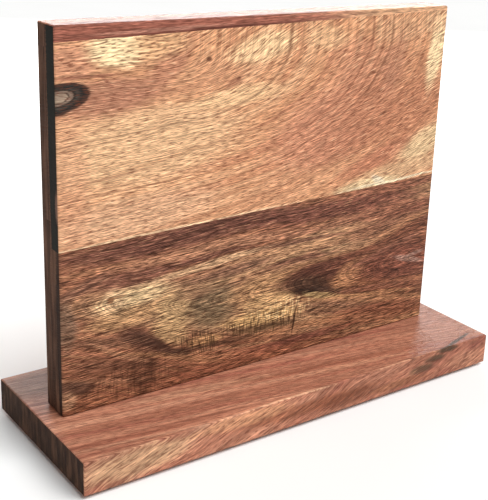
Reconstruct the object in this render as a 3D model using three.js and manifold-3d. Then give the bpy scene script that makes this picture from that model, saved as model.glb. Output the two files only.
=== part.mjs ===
// Double-sided magnetic knife rack: an upright board, glued up from staves, stands on a base board.
// Millimetres, +Z up. X runs along the rack and the front face looks to -Y.
// The origin is on the worktop, under the middle of the rack.

import * as THREE from 'three';
import { mergeVertices } from 'three/addons/utils/BufferGeometryUtils.js';
import Module from 'manifold-3d';

// Driving dimensions. The upright board stands a little left of and behind the base's middle.
const BASE_LENGTH = 300;
const BASE_DEPTH = 110;
const BASE_THICKNESS = 20;
const BOARD_LENGTH = 272;
const BOARD_HEIGHT = 216;
const BOARD_THICKNESS = 20;
const BOARD_SHIFT = { x: -3, y: 3 };
const EDGE_EASING = 1.5;
const EASING_STEPS = 3;
const GLUE_LINE = 0.1;
const FIT_GAP = 0.3;

// Glue lines of each panel: height above the board's foot at its left (-X) and right (+X) end
const FRONT_JOINTS = {
  main: { left: 97, right: 104 },
  top: { left: 207.5, right: 213.5 },
};
const BACK_JOINTS = {
  main: { left: 112, right: 107 },
  top: { left: 204, right: 207 },
};

// Bar magnets: two rows in each panel, let into pockets milled from its inner face
const MAGNET = { length: 30, height: 10, thickness: 6, easing: 0.5 };
const MAGNETS_PER_ROW = 6;
const MAGNET_PITCH = 42;
const MAGNET_ROWS = { lower: 60, upper: 160 };

// Fastenings: countersunk screws driven up through the base, between two locating dowels
const SCREW_LENGTH = 50;
const SCREW_HEAD_RADIUS = 4.6;
const SCREW_HEAD_RIM = 0.4;
const SCREW_NECK_RADIUS = 1.9;
const SCREW_CORE_RADIUS = 1.7;
const SCREW_THREAD_RADIUS = 2.5;
const SCREW_THREAD_START = 20;
const SCREW_THREAD_PITCH = 2.6;
const SCREW_THREADS = 10;
const SCREW_SET_BACK = 1;
const SCREW_RECESS = { length: 5, width: 1, depth: 1.6 };
const SCREW_PLACES = { left: -100, middle: 0, right: 100 };
const DOWEL_RADIUS = 4;
const DOWEL_CHAMFER = 1;
const DOWEL_IN_BASE = 15;
const DOWEL_IN_BOARD = 21;
const DOWEL_PLACES = { left: -50, right: 50 };

// Rubber feet
const FOOT_HEIGHT = 2;
const FOOT_TOP_RADIUS = 7;
const FOOT_BOTTOM_RADIUS = 6.4;
const FOOT_INSET = 18;

const ROUND_SIDES = 24;
const THREAD_SIDES = 16;
const OVERSHOOT = 5;
const MERGE_DISTANCE = 1e-4;

// Heights that follow from the dimensions above
const BASE_TOP = FOOT_HEIGHT + BASE_THICKNESS;
const BOARD_FOOT = BASE_TOP + GLUE_LINE;
const GLUE_PLANE = BOARD_SHIFT.y;
const SCREW_HEAD_FACE = FOOT_HEIGHT + SCREW_SET_BACK;

const wasm = await Module();
wasm.setup();

const MATERIALS = {
  acaciaLight: new THREE.MeshStandardMaterial({ color: '#b9825a', roughness: 0.5, metalness: 0 }),
  acaciaDark: new THREE.MeshStandardMaterial({ color: '#8a5a40', roughness: 0.5, metalness: 0 }),
  acaciaBase: new THREE.MeshStandardMaterial({ color: '#a8704f', roughness: 0.5, metalness: 0 }),
  nickel: new THREE.MeshStandardMaterial({ color: '#c9c7c0', roughness: 0.25, metalness: 1 }),
  zinc: new THREE.MeshStandardMaterial({ color: '#b8bcc2', roughness: 0.35, metalness: 1 }),
  beech: new THREE.MeshStandardMaterial({ color: '#d3ab7c', roughness: 0.7, metalness: 0 }),
  rubber: new THREE.MeshStandardMaterial({ color: '#26262a', roughness: 0.85, metalness: 0 }),
};

const rack = new THREE.Group();

function addPiece(name, geometry, material) {
  const mesh = new THREE.Mesh(geometry, material.clone());
  mesh.name = name;
  rack.add(mesh);
  return mesh;
}

// Turns a closed geometry into a solid for joining and cutting.
function toSolid(geometry) {
  const bare = geometry.clone();
  bare.deleteAttribute('normal');
  bare.deleteAttribute('uv');
  const merged = mergeVertices(bare, MERGE_DISTANCE);
  const index = merged.index.array;
  const corners = [];
  for (let i = 0; i < index.length; i += 3) {
    const [a, b, c] = [index[i], index[i + 1], index[i + 2]];
    if (a !== b && b !== c && c !== a) corners.push(a, b, c);
  }
  return new wasm.Manifold(new wasm.Mesh({
    numProp: 3,
    vertProperties: merged.attributes.position.array,
    triVerts: Uint32Array.from(corners),
  }));
}

function toGeometry(solid) {
  const mesh = solid.getMesh();
  const geometry = new THREE.BufferGeometry();
  geometry.setAttribute('position', new THREE.BufferAttribute(mesh.vertProperties, 3));
  geometry.setIndex(new THREE.BufferAttribute(mesh.triVerts, 1));
  geometry.computeVertexNormals();
  return geometry;
}

// A rectangular block with every edge eased, its thickness along Z, centred on the origin.
function easedBlock(length, width, thickness, easing, steps) {
  const halfLength = length / 2 - easing;
  const halfWidth = width / 2 - easing;
  const outline = new THREE.Shape();
  outline.moveTo(-halfLength, -halfWidth);
  outline.lineTo(halfLength, -halfWidth);
  outline.lineTo(halfLength, halfWidth);
  outline.lineTo(-halfLength, halfWidth);
  const geometry = new THREE.ExtrudeGeometry(outline, {
    depth: thickness - 2 * easing,
    bevelEnabled: true,
    bevelThickness: easing,
    bevelSize: easing,
    bevelSegments: steps,
  });
  geometry.translate(0, 0, easing - thickness / 2);
  return geometry;
}

// A round piece from its half section, given as [radius, height] points from bottom to top.
function turned(section, sides) {
  const points = section.map(([radius, height]) => new THREE.Vector2(radius, height));
  const geometry = new THREE.LatheGeometry(points, sides);
  geometry.rotateX(Math.PI / 2);
  return geometry;
}

// A plate in the XZ plane, from its [x, z] outline, that fills the depth between two Y values.
function uprightPlate(outline, nearY, farY) {
  const shape = new THREE.Shape(outline.map(([x, z]) => new THREE.Vector2(x, z)));
  const geometry = new THREE.ExtrudeGeometry(shape, { depth: farY - nearY, bevelEnabled: false });
  geometry.rotateX(Math.PI / 2);
  geometry.translate(0, farY, 0);
  return geometry;
}

// Height of a glue line at x, carried on in a straight line past the board's ends.
function jointHeight(joint, x) {
  const along = (x - BOARD_SHIFT.x) / BOARD_LENGTH + 0.5;
  return BOARD_FOOT + joint.left + (joint.right - joint.left) * along;
}

// The cutter that leaves the stave between two glue lines. An open side is null.
function staveCutter(below, above, nearY, farY) {
  const end = BOARD_LENGTH / 2 + 2 * OVERSHOOT;
  const lowest = BOARD_FOOT - OVERSHOOT;
  const highest = BOARD_FOOT + BOARD_HEIGHT + OVERSHOOT;
  const low = (x) => (below ? jointHeight(below, x) + GLUE_LINE / 2 : lowest);
  const high = (x) => (above ? jointHeight(above, x) - GLUE_LINE / 2 : highest);
  const outline = [[-end, low(-end)], [end, low(end)], [end, high(end)], [-end, high(-end)]];
  return toSolid(uprightPlate(outline, nearY, farY));
}

function screwCutter(x) {
  const cone = FIT_GAP * Math.SQRT2;
  const headRadius = SCREW_HEAD_RADIUS + FIT_GAP;
  const boreRadius = SCREW_THREAD_RADIUS + FIT_GAP;
  const coneFoot = SCREW_HEAD_RIM + SCREW_HEAD_RADIUS + cone;
  const section = [
    [0, -OVERSHOOT],
    [headRadius, -OVERSHOOT],
    [headRadius, coneFoot - headRadius],
    [boreRadius, coneFoot - boreRadius],
    [boreRadius, SCREW_LENGTH + FIT_GAP],
    [0, SCREW_LENGTH + FIT_GAP],
  ];
  const place = [BOARD_SHIFT.x + x, BOARD_SHIFT.y, SCREW_HEAD_FACE];
  return toSolid(turned(section, ROUND_SIDES).translate(...place));
}

function dowelCutter(x) {
  const radius = DOWEL_RADIUS + FIT_GAP;
  const bottom = -DOWEL_IN_BASE - FIT_GAP;
  const top = DOWEL_IN_BOARD + FIT_GAP;
  const section = [[0, bottom], [radius, bottom], [radius, top], [0, top]];
  const place = [BOARD_SHIFT.x + x, BOARD_SHIFT.y, BASE_TOP];
  return toSolid(turned(section, ROUND_SIDES).translate(...place));
}

const fasteningCutters = [
  ...Object.values(SCREW_PLACES).map(screwCutter),
  ...Object.values(DOWEL_PLACES).map(dowelCutter),
];

function magnetPlace(row, index, side) {
  const x = BOARD_SHIFT.x + (index - (MAGNETS_PER_ROW - 1) / 2) * MAGNET_PITCH;
  const y = GLUE_PLANE + side * (GLUE_LINE / 2 + FIT_GAP + MAGNET.thickness / 2);
  return new THREE.Vector3(x, y, BOARD_FOOT + MAGNET_ROWS[row]);
}

// A pocket holds one magnet with the fit gap all round, and opens on the panel's inner face.
function pocketCutter(row, index, side) {
  const depth = MAGNET.thickness + 2 * FIT_GAP + OVERSHOOT;
  const length = MAGNET.length + 2 * FIT_GAP;
  const height = MAGNET.height + 2 * FIT_GAP;
  const place = magnetPlace(row, index, side);
  const box = new THREE.BoxGeometry(length, depth, height);
  return toSolid(box.translate(place.x, place.y - side * (OVERSHOOT / 2), place.z));
}

function addBase() {
  const blank = easedBlock(BASE_LENGTH, BASE_DEPTH, BASE_THICKNESS, EDGE_EASING, EASING_STEPS);
  blank.translate(0, 0, FOOT_HEIGHT + BASE_THICKNESS / 2);
  const bored = fasteningCutters.reduce((solid, cutter) => solid.subtract(cutter), toSolid(blank));
  addPiece('base_board', toGeometry(bored), MATERIALS.acaciaBase);
}

// One panel is half of the board's thickness, in three staves. Side is -1 at the front, 1 at the back.
function addPanel(panelName, side, joints, board) {
  const inner = GLUE_PLANE + (side * GLUE_LINE) / 2;
  const outer = GLUE_PLANE + side * (BOARD_THICKNESS / 2 + OVERSHOOT);
  const nearY = Math.min(inner, outer);
  const farY = Math.max(inner, outer);
  const { acaciaLight, acaciaDark } = MATERIALS;
  const staves = [
    { name: 'lower_stave', below: null, above: joints.main, row: 'lower', material: acaciaDark },
    { name: 'upper_stave', below: joints.main, above: joints.top, row: 'upper', material: acaciaLight },
    { name: 'top_strip', below: joints.top, above: null, row: null, material: acaciaDark },
  ];
  for (const stave of staves) {
    let solid = board.intersect(staveCutter(stave.below, stave.above, nearY, farY));
    if (stave.row) {
      for (let index = 0; index < MAGNETS_PER_ROW; index += 1) {
        solid = solid.subtract(pocketCutter(stave.row, index, side));
      }
    }
    for (const cutter of fasteningCutters) {
      solid = solid.subtract(cutter);
    }
    addPiece(`${panelName}_${stave.name}`, toGeometry(solid), stave.material);
  }
}

function addMagnets(panelName, side) {
  for (const row of Object.keys(MAGNET_ROWS)) {
    for (let index = 0; index < MAGNETS_PER_ROW; index += 1) {
      const geometry = easedBlock(MAGNET.length, MAGNET.height, MAGNET.thickness, MAGNET.easing, 1);
      const magnet = addPiece(`${panelName}_magnet_${row}_${index + 1}`, geometry, MATERIALS.nickel);
      magnet.rotation.x = Math.PI / 2;
      magnet.position.copy(magnetPlace(row, index, side));
    }
  }
}

// A countersunk wood screw, head down, with its thread as a stack of ridges.
function screwGeometry() {
  const neckHeight = SCREW_HEAD_RIM + SCREW_HEAD_RADIUS - SCREW_NECK_RADIUS;
  const section = [
    [0, 0],
    [SCREW_HEAD_RADIUS, 0],
    [SCREW_HEAD_RADIUS, SCREW_HEAD_RIM],
    [SCREW_NECK_RADIUS, neckHeight],
    [SCREW_NECK_RADIUS, SCREW_THREAD_START],
  ];
  for (let turn = 0; turn < SCREW_THREADS; turn += 1) {
    const height = SCREW_THREAD_START + turn * SCREW_THREAD_PITCH;
    section.push([SCREW_THREAD_RADIUS, height + SCREW_THREAD_PITCH / 2]);
    section.push([SCREW_CORE_RADIUS, height + SCREW_THREAD_PITCH]);
  }
  section.push([0, SCREW_LENGTH]);
  const shank = toSolid(turned(section, THREAD_SIDES));
  const { length, width, depth } = SCREW_RECESS;
  const slots = [
    new THREE.BoxGeometry(length, width, 2 * depth),
    new THREE.BoxGeometry(width, length, 2 * depth),
  ];
  return toGeometry(slots.reduce((solid, slot) => solid.subtract(toSolid(slot)), shank));
}

function addScrews() {
  for (const [place, x] of Object.entries(SCREW_PLACES)) {
    const screw = addPiece(`base_screw_${place}`, screwGeometry(), MATERIALS.zinc);
    screw.position.set(BOARD_SHIFT.x + x, BOARD_SHIFT.y, SCREW_HEAD_FACE);
  }
}

function addDowels() {
  const waist = DOWEL_RADIUS - DOWEL_CHAMFER;
  const section = [
    [0, -DOWEL_IN_BASE],
    [waist, -DOWEL_IN_BASE],
    [DOWEL_RADIUS, DOWEL_CHAMFER - DOWEL_IN_BASE],
    [DOWEL_RADIUS, DOWEL_IN_BOARD - DOWEL_CHAMFER],
    [waist, DOWEL_IN_BOARD],
    [0, DOWEL_IN_BOARD],
  ];
  for (const [place, x] of Object.entries(DOWEL_PLACES)) {
    const dowel = addPiece(`dowel_${place}`, turned(section, ROUND_SIDES), MATERIALS.beech);
    dowel.position.set(BOARD_SHIFT.x + x, BOARD_SHIFT.y, BASE_TOP);
  }
}

function addFeet() {
  const section = [
    [0, 0],
    [FOOT_BOTTOM_RADIUS, 0],
    [FOOT_TOP_RADIUS, FOOT_HEIGHT],
    [0, FOOT_HEIGHT],
  ];
  for (const [depthName, ySide] of [['front', -1], ['back', 1]]) {
    for (const [endName, xSide] of [['left', -1], ['right', 1]]) {
      const foot = addPiece(`foot_${depthName}_${endName}`, turned(section, ROUND_SIDES), MATERIALS.rubber);
      foot.position.x = xSide * (BASE_LENGTH / 2 - FOOT_INSET);
      foot.position.y = ySide * (BASE_DEPTH / 2 - FOOT_INSET);
    }
  }
}

const boardBlank = easedBlock(BOARD_LENGTH, BOARD_HEIGHT, BOARD_THICKNESS, EDGE_EASING, EASING_STEPS);
boardBlank.rotateX(Math.PI / 2);
boardBlank.translate(BOARD_SHIFT.x, BOARD_SHIFT.y, BOARD_FOOT + BOARD_HEIGHT / 2);
const board = toSolid(boardBlank);

addBase();
addPanel('front', -1, FRONT_JOINTS, board);
addPanel('back', 1, BACK_JOINTS, board);
addMagnets('front', -1);
addMagnets('back', 1);
addScrews();
addDowels();
addFeet();

export default rack;
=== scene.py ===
"""Looks of the double-sided magnetic knife rack: oiled acacia boards round sealed bar magnets.

Metres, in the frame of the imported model: +Z up, +X along the rack, and the front face looks to -Y.
Figure in the wood is placed in millimetres on each board's own face, from its lower left corner.
"""

import logging
import math
from abc import ABC, abstractmethod
from collections.abc import Callable, Iterable
from dataclasses import dataclass, field
from enum import Enum

import bmesh
import bpy
from mathutils import Matrix, Vector


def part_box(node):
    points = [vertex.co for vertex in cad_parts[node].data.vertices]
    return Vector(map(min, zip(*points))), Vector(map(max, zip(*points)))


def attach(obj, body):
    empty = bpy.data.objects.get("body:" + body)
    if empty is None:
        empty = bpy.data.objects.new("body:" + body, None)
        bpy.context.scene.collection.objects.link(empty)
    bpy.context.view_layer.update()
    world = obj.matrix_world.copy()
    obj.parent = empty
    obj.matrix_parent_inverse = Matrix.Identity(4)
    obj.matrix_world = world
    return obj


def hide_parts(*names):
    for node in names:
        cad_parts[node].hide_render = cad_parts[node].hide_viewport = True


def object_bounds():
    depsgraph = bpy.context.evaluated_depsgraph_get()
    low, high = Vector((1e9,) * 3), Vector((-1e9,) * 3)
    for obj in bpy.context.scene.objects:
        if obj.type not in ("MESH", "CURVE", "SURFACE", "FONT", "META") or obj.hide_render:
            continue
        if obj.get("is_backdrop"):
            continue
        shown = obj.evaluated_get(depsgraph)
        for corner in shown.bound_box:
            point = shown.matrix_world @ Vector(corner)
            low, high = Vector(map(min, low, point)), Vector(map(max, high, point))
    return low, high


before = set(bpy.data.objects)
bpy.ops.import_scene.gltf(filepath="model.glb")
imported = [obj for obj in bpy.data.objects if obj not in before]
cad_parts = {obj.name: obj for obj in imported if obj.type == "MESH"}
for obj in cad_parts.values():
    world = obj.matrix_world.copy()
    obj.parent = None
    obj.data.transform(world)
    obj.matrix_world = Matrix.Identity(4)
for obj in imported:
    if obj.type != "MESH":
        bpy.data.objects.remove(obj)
CAD_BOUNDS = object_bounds()

log = logging.getLogger("knife_rack")

MM = 0.001
BODY = "root"
MIX_FACTOR, MIX_A, MIX_B = 0, 6, 7
CLEAR = (0.0, 0.0, 0.0, 1.0)
WHITE = (1.0, 1.0, 1.0, 1.0)

# Sizes of the wood's texture along and across the grain, in millimetres.
BAND_LENGTH = 260.0
LAMINA = (240.0, 2.4)
FIBRE = (12.0, 0.5)
# Pores are 0.2 mm wide in the wood, and are drawn twice as wide so that they show.
PORE = (5.0, 0.42)
# Curled flecks are this share as wide as they are tall.
CURL_SLIMNESS = 0.14
SWEEP_BLEND = (24.0, 12.0)
LINE_MARGIN = 20.0

# Where a noise is taken to be at its lowest and highest, and where it turns into pores and flecks.
NOISE_LOW, NOISE_HIGH = 0.3, 0.7
BAND_SPAN = (0.28, 0.72)
LAMINA_SPAN = (0.36, 0.64)
GLINT_END = 0.46
PORE_EDGE = (0.55, 0.66)
CURL_EDGE = (0.47, 0.6)

# Where a face counts as a sawn end, by how squarely it looks along the rack.
END_EDGE = (0.8, 0.97)

# How far fibre noise frays a patch, a knot's rings and a growth line.
PATCH_FRAY = 0.9
KNOT_FRAY = 0.22
LINE_FRAY = 1.2
PATCH_RIM = 0.1
KNOT_RIM = (0.93, 1.05)

ZONE_SHARE = 0.62
LINE_FALL = 0.6

OIL_IOR = 1.48
OIL_ROUGHNESS = (0.48, 0.36)
END_MATTING = 0.3
PORE_SINK = 1.6
GLOSS_SPREAD = 0.06
FIBRE_RELIEF = 0.15 * MM
SMOOTH_ANGLE = math.radians(35.0)
ROUND_STEPS = 48
SAME_PLACE = 1e-6

Colour = tuple[float, float, float, float]
Socket = bpy.types.NodeSocket
Node = bpy.types.Node
Face = tuple[tuple[float, float, float], tuple[float, float, float]]


def linear(hex_colour: str) -> Colour:
    """Turn an sRGB hex colour into linear RGBA.

    Args:
        hex_colour: A colour such as "#b9825a".

    Returns:
        The linear red, green and blue, with alpha 1.
    """
    parts = [int(hex_colour[start:start + 2], 16) / 255 for start in (1, 3, 5)]
    curve = [part / 12.92 if part <= 0.04045 else ((part + 0.055) / 1.055) ** 2.4 for part in parts]
    return (curve[0], curve[1], curve[2], 1.0)


class Graph:
    """The node tree of a material or of the world, filled one node at a time."""

    def __init__(self, owner: bpy.types.Material | bpy.types.World, output: str = "OutputMaterial") -> None:
        """Empty the owner's node tree and give it an output node.

        Args:
            owner: The material or world.
            output: The output node's kind.
        """
        owner.use_nodes = True
        self.tree = owner.node_tree
        self.tree.nodes.clear()
        self.output = self.add(output)

    def add(
        self,
        kind: str,
        inputs: dict | None = None,
        stops: Iterable[tuple[float, Colour]] = (),
        points: Iterable[tuple[float, float]] = (),
        **settings: object,
    ) -> Node:
        """Add a node, set its properties, then fill or link its inputs.

        Args:
            kind: The node's type name, without its "ShaderNode".
            inputs: Input name or index to a value, a socket, or a node whose first live output is linked.
            stops: Position and linear colour of each stop, in order, where the node is a colour ramp.
            points: Places on the curve, in order, where the node is a float curve.
            **settings: Properties of the node.

        Returns:
            The new node.
        """
        node = self.tree.nodes.new(f"ShaderNode{kind}")
        for key, value in settings.items():
            setattr(node, key, value)
        for key, value in (inputs or {}).items():
            if isinstance(value, Node):
                value = next(socket for socket in value.outputs if socket.enabled)
            if isinstance(value, Socket):
                self.tree.links.new(value, node.inputs[key])
            else:
                node.inputs[key].default_value = value
        for index, (position, colour) in enumerate(stops):
            elements = node.color_ramp.elements
            element = elements[index] if index < 2 else elements.new(1.0)
            element.position = position
            element.color = colour
        for index, place in enumerate(points):
            handles = node.mapping.curves[0].points
            handle = handles[index] if index < 2 else handles.new(1.0, 1.0)
            handle.location = place
            node.mapping.update()
        return node

    def show(self, shader: Node) -> None:
        """Link a shader to the output node."""
        self.tree.links.new(shader.outputs[0], self.output.inputs[0])


@dataclass(frozen=True)
class Stroke:
    """A soft-edged patch of another tone in the wood, placed on a face in millimetres.

    The face's own axes are along the grain, across it, and into the wood. A `ripple` breaks the patch into
    short upright flecks that wide, where the fibres curl.
    """

    at: tuple[float, float]
    size: tuple[float, float]
    tone: str
    strength: float = 0.7
    tilt: float = 0.0
    depth: float = 0.0
    reach: float = 14.0
    softness: float = 0.5
    ripple: float = 0.0

    def lay(self, graph: Graph, point: Node, breakup: Node, tone: Node) -> Node:
        """Lay the patch over the tones so far.

        Args:
            graph: The material being built.
            point: The place on the face, in millimetres.
            breakup: Fibre noise centred on zero, which frays the patch along the grain.
            tone: The tones so far.

        Returns:
            The tones with the patch.
        """
        place = graph.add(
            "Mapping",
            {
                "Vector": point,
                "Location": (*self.at, self.depth),
                "Rotation": (0.0, 0.0, math.radians(self.tilt)),
                "Scale": (*self.size, self.reach),
            },
            vector_type="TEXTURE",
        )
        inside = graph.add("TexGradient", {0: place}, gradient_type="SPHERICAL")
        frayed = graph.add("Math", {0: inside.outputs["Fac"], 1: breakup}, operation="ADD")
        mask = graph.add(
            "MapRange",
            {0: frayed, 1: PATCH_RIM, 2: PATCH_RIM + self.softness, 3: 0.0, 4: self.strength},
            interpolation_type="SMOOTHSTEP",
        )
        if self.ripple:
            tall = CURL_SLIMNESS / self.ripple
            curled = graph.add("Mapping", {"Vector": point, "Scale": (1.0 / self.ripple, tall, tall)})
            noise = graph.add("TexNoise", {"Vector": curled, "Scale": 1.0, "Detail": 1.0})
            flecks = graph.add("MapRange", {0: noise.outputs["Fac"], 1: CURL_EDGE[0], 2: CURL_EDGE[1]})
            mask = graph.add("Math", {0: mask, 1: flecks}, operation="MULTIPLY")
        return graph.add("Mix", {MIX_FACTOR: mask, MIX_A: tone, MIX_B: linear(self.tone)}, data_type="RGBA")


@dataclass(frozen=True)
class Knot:
    """A dead branch: pale pith, thin dark rings round it, and a black-brown bark pocket outside."""

    at: tuple[float, float]
    size: tuple[float, float]
    tilt: float = 0.0
    reach: float = 9.0
    tones: tuple[tuple[float, str], ...] = (
        (0.0, "#a48f7c"), (0.30, "#9b8571"), (0.34, "#3c2e27"), (0.39, "#8f7868"), (0.47, "#7b6658"),
        (0.51, "#2f2823"), (0.60, "#46403a"), (0.78, "#2b2825"), (0.93, "#4a352c"),
    )

    def lay(self, graph: Graph, point: Node, breakup: Node, tone: Node) -> Node:
        """Lay the knot over the tones so far.

        Args:
            graph: The material being built.
            point: The place on the face, in millimetres.
            breakup: Fibre noise centred on zero, which roughens the rings.
            tone: The tones so far.

        Returns:
            The tones with the knot.
        """
        place = graph.add(
            "Mapping",
            {
                "Vector": point,
                "Location": (*self.at, 0.0),
                "Rotation": (0.0, 0.0, math.radians(self.tilt)),
                "Scale": (*self.size, self.reach),
            },
            vector_type="TEXTURE",
        )
        out = graph.add("VectorMath", {0: place}, operation="LENGTH")
        rough = graph.add(
            "Math", {0: breakup, 1: KNOT_FRAY, 2: out.outputs["Value"]}, operation="MULTIPLY_ADD"
        )
        rings = graph.add(
            "ValToRGB", {0: rough}, stops=[(where, linear(colour)) for where, colour in self.tones]
        )
        mask = graph.add(
            "MapRange",
            {0: rough, 1: KNOT_RIM[0], 2: KNOT_RIM[1], 3: 1.0, 4: 0.0},
            interpolation_type="SMOOTHSTEP",
        )
        return graph.add("Mix", {MIX_FACTOR: mask, MIX_A: tone, MIX_B: rings}, data_type="RGBA")


@dataclass(frozen=True)
class RingLine:
    """One dark growth line, at a distance across the grain, in millimetres."""

    at: float
    depth: float = 0.3
    width: float = 1.6


@dataclass(frozen=True)
class Grain:
    """Places in the wood in millimetres: across and along its growth lines, and across its pores."""

    across: Node
    along: Node
    across_pores: Node


class Figure(ABC):
    """How a board's growth lines and pores run over its face."""

    @abstractmethod
    def grain(self, graph: Graph, point: Node) -> Grain:
        """Add the nodes that measure across and along the growth lines.

        Args:
            graph: The material being built.
            point: The warped place on the face, in millimetres.

        Returns:
            The measures.
        """


@dataclass(frozen=True)
class StraightFigure(Figure):
    """Growth lines that run the length of the board, falling by `slope` as they go."""

    slope: float = 0.0
    depth_slope: float = 0.35

    def grain(self, graph: Graph, point: Node) -> Grain:
        """Measure lines that run straight along the board.

        Args:
            graph: The material being built.
            point: The warped place on the face, in millimetres.

        Returns:
            The measures.
        """
        axes = graph.add("SeparateXYZ", {0: point})
        level = graph.add(
            "Math",
            {0: axes.outputs["X"], 1: self.slope, 2: axes.outputs["Y"]},
            operation="MULTIPLY_ADD",
        )
        across = graph.add(
            "Math", {0: axes.outputs["Z"], 1: self.depth_slope, 2: level}, operation="MULTIPLY_ADD"
        )
        return Grain(across, axes, across)


@dataclass(frozen=True)
class SweptFigure(Figure):
    """Growth lines that run in from the left and sweep up through a quarter of an ellipse.

    The pores lie between the sweep and the board's length, as they do in interlocked grain.
    """

    centre: tuple[float, float] = (76.0, 190.0)
    flatness: float = 0.5
    slope: float = 0.06
    depth_slope: float = 0.6
    pore_share: float = 0.5

    def grain(self, graph: Graph, point: Node) -> Grain:
        """Measure how far out a place lies from the middle of the sweep.

        Args:
            graph: The material being built.
            point: The warped place on the face, in millimetres.

        Returns:
            The measures.
        """
        axes = graph.add("SeparateXYZ", {0: point})
        level = graph.add(
            "Math",
            {0: axes.outputs["X"], 1: -self.slope, 2: axes.outputs["Y"]},
            operation="MULTIPLY_ADD",
        )
        past = graph.add("Math", {0: axes.outputs["X"], 1: self.centre[0]}, operation="SUBTRACT")
        reach = graph.add("Math", {0: past, 1: 0.0, 2: SWEEP_BLEND[0]}, operation="SMOOTH_MAX")
        below = graph.add("Math", {0: self.centre[1], 1: level}, operation="SUBTRACT")
        lower = graph.add("Math", {0: below, 1: 0.0, 2: SWEEP_BLEND[1]}, operation="SMOOTH_MAX")
        drop = graph.add("Math", {0: lower, 1: self.flatness}, operation="DIVIDE")
        arm = graph.add("CombineXYZ", {0: reach, 1: drop})
        radius = graph.add("VectorMath", {0: arm}, operation="LENGTH")
        across = graph.add(
            "Math",
            {0: axes.outputs["Z"], 1: self.depth_slope, 2: radius.outputs["Value"]},
            operation="MULTIPLY_ADD",
        )
        half = graph.add("Math", {0: across, 1: self.flatness * self.pore_share}, operation="MULTIPLY")
        pores = graph.add("Math", {0: level, 1: -self.pore_share, 2: half}, operation="MULTIPLY_ADD")
        return Grain(across, axes, pores)


@dataclass(frozen=True)
class TongueFigure(Figure):
    """Nested tongue-shaped growth lines, open to the right, with their tips on a wandering middle line.

    `middle` holds the middle line's height at shares of the length, and `opening` how far behind its tip
    a line has opened, at distances from the middle line.
    """

    length: float = 272.0
    reach: float = 70.0
    middle: tuple[tuple[float, float], ...] = (
        (0.0, 66.0), (0.1, 62.0), (0.3, 51.0), (0.56, 46.5), (1.0, 46.0),
    )
    opening: tuple[tuple[float, float], ...] = (
        (0.0, 0.0), (4.0, 4.0), (8.0, 16.0), (12.0, 38.0), (17.0, 78.0), (25.0, 112.0), (40.0, 190.0),
        (70.0, 330.0),
    )
    depth_slope: float = 1.2
    pore_slope: float = 0.05

    def grain(self, graph: Graph, point: Node) -> Grain:
        """Measure which tongue a place is on, by where that tongue's tip lies.

        Args:
            graph: The material being built.
            point: The warped place on the face, in millimetres.

        Returns:
            The measures.
        """
        axes = graph.add("SeparateXYZ", {0: point})
        share = graph.add("Math", {0: axes.outputs["X"], 1: self.length}, operation="DIVIDE")
        middle = graph.add(
            "FloatCurve", {"Value": share}, points=[(x, y / self.reach) for x, y in self.middle]
        )
        height = graph.add("Math", {0: axes.outputs["Y"], 1: self.reach}, operation="DIVIDE")
        off = graph.add("Math", {0: height, 1: middle}, operation="SUBTRACT")
        away = graph.add("Math", {0: off}, operation="ABSOLUTE")
        farthest = self.opening[-1][1]
        opened = graph.add(
            "FloatCurve",
            {"Value": away},
            points=[(x / self.reach, y / farthest) for x, y in self.opening],
        )
        tip = graph.add("Math", {0: opened, 1: -farthest, 2: axes.outputs["X"]}, operation="MULTIPLY_ADD")
        across = graph.add(
            "Math", {0: axes.outputs["Z"], 1: self.depth_slope, 2: tip}, operation="MULTIPLY_ADD"
        )
        pores = graph.add(
            "Math",
            {0: axes.outputs["X"], 1: -self.pore_slope, 2: axes.outputs["Y"]},
            operation="MULTIPLY_ADD",
        )
        return Grain(across, axes, pores)


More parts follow.
